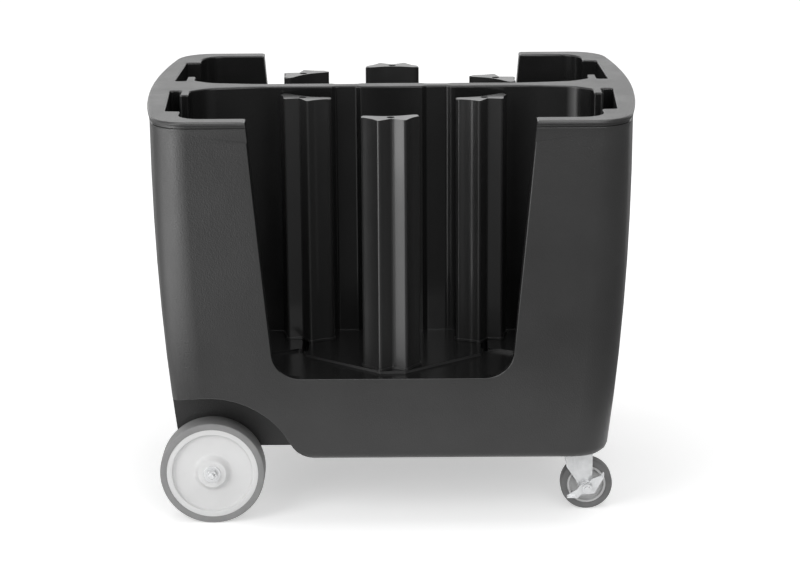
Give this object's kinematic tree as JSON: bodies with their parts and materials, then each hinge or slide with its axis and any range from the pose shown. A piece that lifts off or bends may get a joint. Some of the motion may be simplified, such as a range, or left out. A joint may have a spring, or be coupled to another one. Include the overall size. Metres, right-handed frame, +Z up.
{
  "type": "plate dispenser cart",
  "caption": "Open-topped moulded cart for stacked plates, with adjustable towers, large rear wheels and braked swivel casters.",
  "frame": {"origin": "on the floor, under the middle of the body", "axes": "+X towards the swivel casters, along the body's length; +Y away from the side shown in the picture; +Z up"},
  "size_m": [0.943, 0.721, 0.813],
  "materials": {
    "body_plastic": "matt, fine orange-peel texture",
    "tower_plastic": "semi-gloss black",
    "dark_steel": "black oxide",
    "zinc_steel": "bright zinc plated",
    "wheel_tyre": "matt mid-grey rubber",
    "wheel_core": "light grey moulded",
    "wheel_bush": "natural nylon",
    "caster_tyre": "matt dark grey rubber",
    "caster_core": "grey moulded"
  },
  "bodies": {
    "base": {"body_moulding": "body_plastic", "axle": "zinc_steel", "axle_spacers": "zinc_steel", "axle_washers": "zinc_steel", "axle_nuts": "zinc_steel", "axle_bracket_front": "zinc_steel", "axle_bracket_back": "zinc_steel", "axle_bracket_bolts": "zinc_steel", "caster_plate_front": "zinc_steel", "caster_bolts_front": "zinc_steel", "caster_kingpin_front": "zinc_steel", "caster_balls_front": "zinc_steel", "caster_plate_back": "zinc_steel", "caster_bolts_back": "zinc_steel", "caster_kingpin_back": "zinc_steel", "caster_balls_back": "zinc_steel"},
    "carriage_front_left": {"tie_bolt_front_left": "dark_steel", "clamp_washer_front_left": "zinc_steel", "wing_nut_front_left": "zinc_steel"},
    "tower_front_left": {"tower_front_left": "tower_plastic"},
    "carriage_front_middle": {"tie_bolt_front_middle": "dark_steel", "clamp_washer_front_middle": "zinc_steel", "wing_nut_front_middle": "zinc_steel"},
    "tower_front_middle": {"tower_front_middle": "tower_plastic"},
    "carriage_front_right": {"tie_bolt_front_right": "dark_steel", "clamp_washer_front_right": "zinc_steel", "wing_nut_front_right": "zinc_steel"},
    "tower_front_right": {"tower_front_right": "tower_plastic"},
    "carriage_back_left": {"tie_bolt_back_left": "dark_steel", "clamp_washer_back_left": "zinc_steel", "wing_nut_back_left": "zinc_steel"},
    "tower_back_left": {"tower_back_left": "tower_plastic"},
    "carriage_back_middle": {"tie_bolt_back_middle": "dark_steel", "clamp_washer_back_middle": "zinc_steel", "wing_nut_back_middle": "zinc_steel"},
    "tower_back_middle": {"tower_back_middle": "tower_plastic"},
    "carriage_back_right": {"tie_bolt_back_right": "dark_steel", "clamp_washer_back_right": "zinc_steel", "wing_nut_back_right": "zinc_steel"},
    "tower_back_right": {"tower_back_right": "tower_plastic"},
    "wheel_front": {"wheel_tyre_front": "wheel_tyre", "wheel_core_front": "wheel_core", "wheel_bush_front": "wheel_bush"},
    "wheel_back": {"wheel_tyre_back": "wheel_tyre", "wheel_core_back": "wheel_core", "wheel_bush_back": "wheel_bush"},
    "swivel_front": {"caster_fork_front": "zinc_steel", "caster_axle_bolt_front": "zinc_steel", "caster_nut_front": "zinc_steel"},
    "caster_wheel_front": {"caster_core_front": "caster_core", "caster_tyre_front": "caster_tyre"},
    "brake_front": {"brake_lever_front": "zinc_steel"},
    "swivel_back": {"caster_fork_back": "zinc_steel", "caster_axle_bolt_back": "zinc_steel", "caster_nut_back": "zinc_steel"},
    "caster_wheel_back": {"caster_core_back": "caster_core", "caster_tyre_back": "caster_tyre"},
    "brake_back": {"brake_lever_back": "zinc_steel"}
  },
  "joints": [
    {"name": "front_left_slide", "type": "slide", "parent": "base", "child": "carriage_front_left", "axis": [0, -1, 0], "range_m": [0, 0.09]},
    {"name": "front_left_turn", "type": "hinge", "parent": "carriage_front_left", "child": "tower_front_left", "pos_m": [-0.172, -0.064, 0.56], "axis": [0, 0, 1], "range_deg": [0, 40]},
    {"name": "front_middle_slide", "type": "slide", "parent": "base", "child": "carriage_front_middle", "axis": [0, -1, 0], "range_m": [-0.11, 0]},
    {"name": "front_middle_turn", "type": "hinge", "parent": "carriage_front_middle", "child": "tower_front_middle", "pos_m": [-0.001, -0.263, 0.56], "axis": [0, 0, 1], "range_deg": [-20, 20]},
    {"name": "front_right_slide", "type": "slide", "parent": "base", "child": "carriage_front_right", "axis": [0, -1, 0], "range_m": [0, 0.07]},
    {"name": "front_right_turn", "type": "hinge", "parent": "carriage_front_right", "child": "tower_front_right", "pos_m": [0.18, -0.074, 0.56], "axis": [0, 0, 1], "range_deg": [-20, 20]},
    {"name": "back_left_slide", "type": "slide", "parent": "base", "child": "carriage_back_left", "axis": [0, 1, 0], "range_m": [-0.1, 0]},
    {"name": "back_left_turn", "type": "hinge", "parent": "carriage_back_left", "child": "tower_back_left", "pos_m": [-0.18, 0.187, 0.56], "axis": [0, 0, 1], "range_deg": [-20, 20]},
    {"name": "back_middle_slide", "type": "slide", "parent": "base", "child": "carriage_back_middle", "axis": [0, 1, 0], "range_m": [-0.11, 0]},
    {"name": "back_middle_turn", "type": "hinge", "parent": "carriage_back_middle", "child": "tower_back_middle", "pos_m": [0.001, 0.272, 0.56], "axis": [0, 0, 1], "range_deg": [-20, 20]},
    {"name": "back_right_slide", "type": "slide", "parent": "base", "child": "carriage_back_right", "axis": [0, 1, 0], "range_m": [-0.04, 0.05]},
    {"name": "back_right_turn", "type": "hinge", "parent": "carriage_back_right", "child": "tower_back_right", "pos_m": [0.21, 0.131, 0.56], "axis": [0, 0, 1], "range_deg": [-20, 20]},
    {"name": "wheel_front_spin", "type": "hinge", "parent": "base", "child": "wheel_front", "pos_m": [-0.351, -0.244, 0.1016], "axis": [0, 1, 0], "continuous": true},
    {"name": "wheel_back_spin", "type": "hinge", "parent": "base", "child": "wheel_back", "pos_m": [-0.351, 0.244, 0.1016], "axis": [0, 1, 0], "continuous": true},
    {"name": "caster_front_swivel", "type": "hinge", "parent": "base", "child": "swivel_front", "pos_m": [0.357, -0.186, 0.12], "axis": [0, 0, 1], "continuous": true},
    {"name": "caster_front_spin", "type": "hinge", "parent": "swivel_front", "child": "caster_wheel_front", "pos_m": [0.379, -0.186, 0.0508], "axis": [0, 1, 0], "continuous": true},
    {"name": "brake_front_press", "type": "hinge", "parent": "swivel_front", "child": "brake_front", "pos_m": [0.379, -0.216, 0.0508], "axis": [0, 1, 0], "range_deg": [0, 35]},
    {"name": "caster_back_swivel", "type": "hinge", "parent": "base", "child": "swivel_back", "pos_m": [0.357, 0.186, 0.12], "axis": [0, 0, 1], "continuous": true},
    {"name": "caster_back_spin", "type": "hinge", "parent": "swivel_back", "child": "caster_wheel_back", "pos_m": [0.379, 0.186, 0.0508], "axis": [0, 1, 0], "continuous": true},
    {"name": "brake_back_press", "type": "hinge", "parent": "swivel_back", "child": "brake_back", "pos_m": [0.379, 0.156, 0.0508], "axis": [0, 1, 0], "range_deg": [0, 35]}
  ]
}
